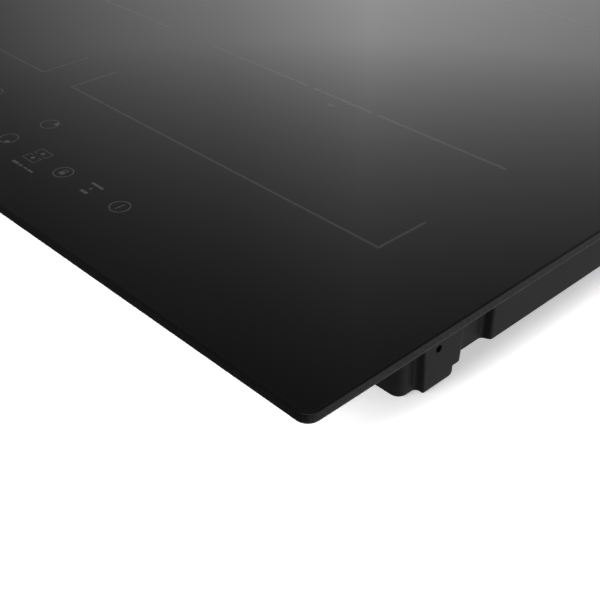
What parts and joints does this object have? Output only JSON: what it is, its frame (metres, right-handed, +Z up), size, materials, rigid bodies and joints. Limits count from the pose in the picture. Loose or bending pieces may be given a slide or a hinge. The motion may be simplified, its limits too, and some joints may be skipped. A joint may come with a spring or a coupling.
{
  "type": "induction hob",
  "caption": "Built-in induction hob: black glass with printed zones and touch keys on a stepped moulded tray that holds sprung coil carriers, fans and electronics.",
  "frame": {"origin": "on the plane of the four feet, under the middle of the glass", "axes": "+X to the right along the front edge, +Y to the rear, +Z up through the glass"},
  "size_m": [0.59, 0.52, 0.048],
  "materials": {
    "black_glass": "polished black glass ceramic with ground edges",
    "print_enamel": "thin grey fired print on the glass",
    "tray_plastic": "fine-textured black moulding",
    "seal_foam": "closed-cell foam strip",
    "zinc_steel": "zinc-plated steel",
    "spring_steel": "drawn spring wire",
    "carrier_aluminium": "mill-finish aluminium",
    "enamelled_copper": "enamelled copper litz wire",
    "ferrite": "sintered ferrite",
    "mica": "mica and ceramic fibre sheet",
    "board_green": "solder-masked circuit board",
    "white_plastic": "heat-resistant moulding",
    "rotor_plastic": "satin moulding",
    "capacitor_case": "potted film capacitor case",
    "wire_insulation": "silicone wire insulation"
  },
  "bodies": {
    "casing": {"glass_top": "black_glass", "edge_seal": "seal_foam", "glass_frame": "zinc_steel", "bottom_tray": "tray_plastic", "filter_board": "board_green", "filter_choke": "enamelled_copper", "touch_board": "board_green", "touch_holder": "white_plastic", "touch_ribbon": "wire_insulation", "terminal_box": "tray_plastic", "terminal_block": "white_plastic", "cable_clamp": "tray_plastic", "clamp_screw_left": "zinc_steel", "clamp_screw_right": "zinc_steel", "mains_lead": "wire_insulation", "frame_screw_front_left": "zinc_steel", "frame_screw_front_right": "zinc_steel", "frame_screw_rear_left": "zinc_steel", "frame_screw_rear_right": "zinc_steel", "carrier_spring_left_1": "spring_steel", "carrier_spring_left_2": "spring_steel", "carrier_spring_left_3": "spring_steel", "carrier_spring_left_4": "spring_steel", "fan_housing_left": "tray_plastic", "inverter_board_left": "board_green", "heat_sink_left": "carrier_aluminium", "capacitor_block_left": "capacitor_case", "carrier_spring_right_1": "spring_steel", "carrier_spring_right_2": "spring_steel", "carrier_spring_right_3": "spring_steel", "carrier_spring_right_4": "spring_steel", "fan_housing_right": "tray_plastic", "inverter_board_right": "board_green", "heat_sink_right": "carrier_aluminium", "capacitor_block_right": "capacitor_case"},
    "carrier_left": {"coil_carrier_left": "carrier_aluminium", "coil_former_front_left": "white_plastic", "coil_ferrite_front_left": "ferrite", "coil_winding_front_left": "enamelled_copper", "coil_insulation_front_left": "mica", "coil_sensor_front_left": "white_plastic", "coil_former_rear_left": "white_plastic", "coil_ferrite_rear_left": "ferrite", "coil_winding_rear_left": "enamelled_copper", "coil_insulation_rear_left": "mica", "coil_sensor_rear_left": "white_plastic"},
    "fan_left": {"fan_rotor_left": "rotor_plastic"},
    "carrier_right": {"coil_carrier_right": "carrier_aluminium", "coil_former_front_right": "white_plastic", "coil_ferrite_front_right": "ferrite", "coil_winding_front_right": "enamelled_copper", "coil_insulation_front_right": "mica", "coil_sensor_front_right": "white_plastic", "coil_former_rear_right": "white_plastic", "coil_ferrite_rear_right": "ferrite", "coil_winding_rear_right": "enamelled_copper", "coil_insulation_rear_right": "mica", "coil_sensor_rear_right": "white_plastic"},
    "fan_right": {"fan_rotor_right": "rotor_plastic"},
    "terminal_cover": {"terminal_cover": "tray_plastic"}
  },
  "joints": [
    {"name": "carrier_left_float", "type": "slide", "parent": "casing", "child": "carrier_left", "axis": [0, 0, 1], "range_m": [-0.002, 0], "stiffness_N_per_m": 8000, "springref_m": 0.004, "deforming": ["carrier_spring_left_1", "carrier_spring_left_2", "carrier_spring_left_3", "carrier_spring_left_4"]},
    {"name": "fan_left_spin", "type": "hinge", "parent": "casing", "child": "fan_left", "pos_m": [-0.145, 0.14, 0.0145], "axis": [0, 0, 1], "continuous": true},
    {"name": "carrier_right_float", "type": "slide", "parent": "casing", "child": "carrier_right", "axis": [0, 0, 1], "range_m": [-0.002, 0], "stiffness_N_per_m": 8000, "springref_m": 0.004, "deforming": ["carrier_spring_right_1", "carrier_spring_right_2", "carrier_spring_right_3", "carrier_spring_right_4"]},
    {"name": "fan_right_spin", "type": "hinge", "parent": "casing", "child": "fan_right", "pos_m": [0.145, 0.14, 0.0145], "axis": [0, 0, 1], "continuous": true},
    {"name": "terminal_cover_hinge", "type": "hinge", "parent": "casing", "child": "terminal_cover", "pos_m": [0.16, 0.2439, 0.0104], "axis": [-1, 0, 0], "range_deg": [0, 95]}
  ]
}
